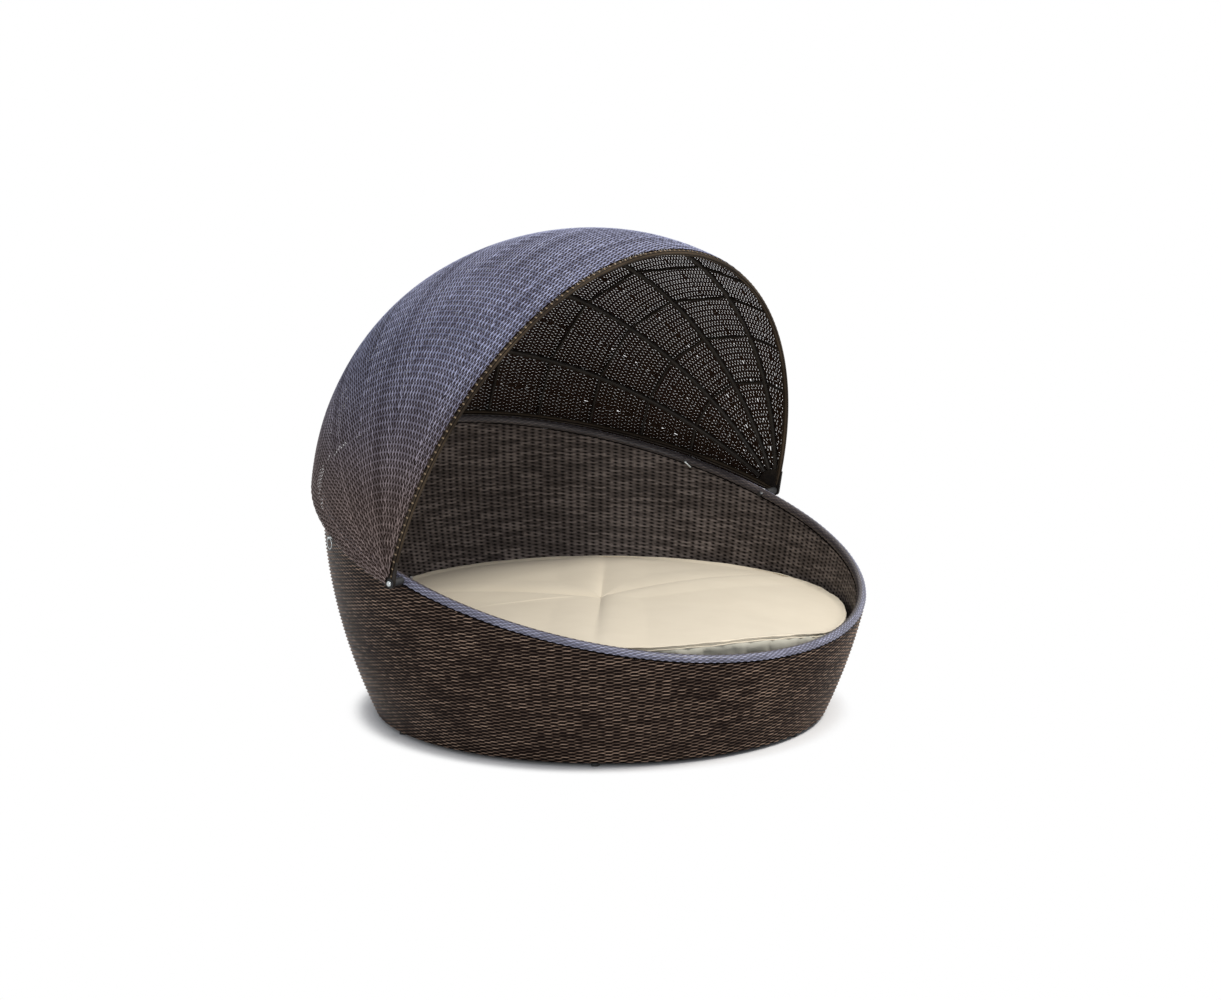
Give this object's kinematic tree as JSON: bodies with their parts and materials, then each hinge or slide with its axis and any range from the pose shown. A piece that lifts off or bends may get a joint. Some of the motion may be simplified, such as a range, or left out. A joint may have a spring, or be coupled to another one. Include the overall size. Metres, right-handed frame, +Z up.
{
  "type": "outdoor daybed with canopy",
  "caption": "Round woven outdoor daybed: a tub with a sloping rim on a tube frame, a round mattress, and a woven hood that swings over it on side bolts.",
  "frame": {"origin": "on the floor, under the middle of the whole daybed with its hood at rest; the tub's own axis is 32.45 mm in front of it", "axes": "+Z up; the front, where the rim is lowest, faces -Y; +X to the right of someone facing the daybed"},
  "size_m": [1.9186, 1.78, 1.5788],
  "materials": {
    "wicker": "satin",
    "wicker_border": "satin",
    "frame": "satin",
    "cover": "matte",
    "bright_steel": "satin",
    "black_rubber": "matte"
  },
  "bodies": {
    "tub": {"base_ring": "frame", "deck_ring": "frame", "rim_tube": "frame", "upright_1": "frame", "upright_2": "frame", "upright_3": "frame", "upright_4": "frame", "upright_5": "frame", "upright_6": "frame", "upright_7": "frame", "upright_8": "frame", "upright_9": "frame", "upright_10": "frame", "deck_bearer_1": "frame", "deck_bearer_2": "frame", "deck_bearer_3": "frame", "deck_bearer_4": "frame", "deck_panel": "wicker", "outer_wall": "wicker", "inner_wall": "wicker", "rim_border": "wicker_border", "foot_1": "black_rubber", "foot_2": "black_rubber", "foot_3": "black_rubber", "foot_4": "black_rubber", "foot_5": "black_rubber", "foot_6": "black_rubber", "mattress": "cover", "pivot_bolt_left": "bright_steel", "pivot_washer_left": "black_rubber", "pivot_spacer_left": "black_rubber", "pivot_nut_left": "bright_steel", "stop_pin_left": "bright_steel", "keeper_ring_left": "bright_steel", "pivot_bolt_right": "bright_steel", "pivot_washer_right": "black_rubber", "pivot_spacer_right": "black_rubber", "pivot_nut_right": "bright_steel", "stop_pin_right": "bright_steel", "keeper_ring_right": "bright_steel"},
    "hood": {"hood_front_bow": "frame", "hood_bow_2": "frame", "hood_bow_3": "frame", "hood_bow_4": "frame", "hood_bow_5": "frame", "hood_rear_bow": "frame", "hood_weave": "wicker", "hood_front_binding": "wicker", "hood_rear_binding": "wicker", "hub_plate_left": "frame", "hub_plate_right": "frame"}
  },
  "joints": [
    {"name": "hood_tilt", "type": "hinge", "parent": "tub", "child": "hood", "pos_m": [0, -0.00045, 0.576], "axis": [1, 0, 0], "range_deg": [0, 85]}
  ]
}
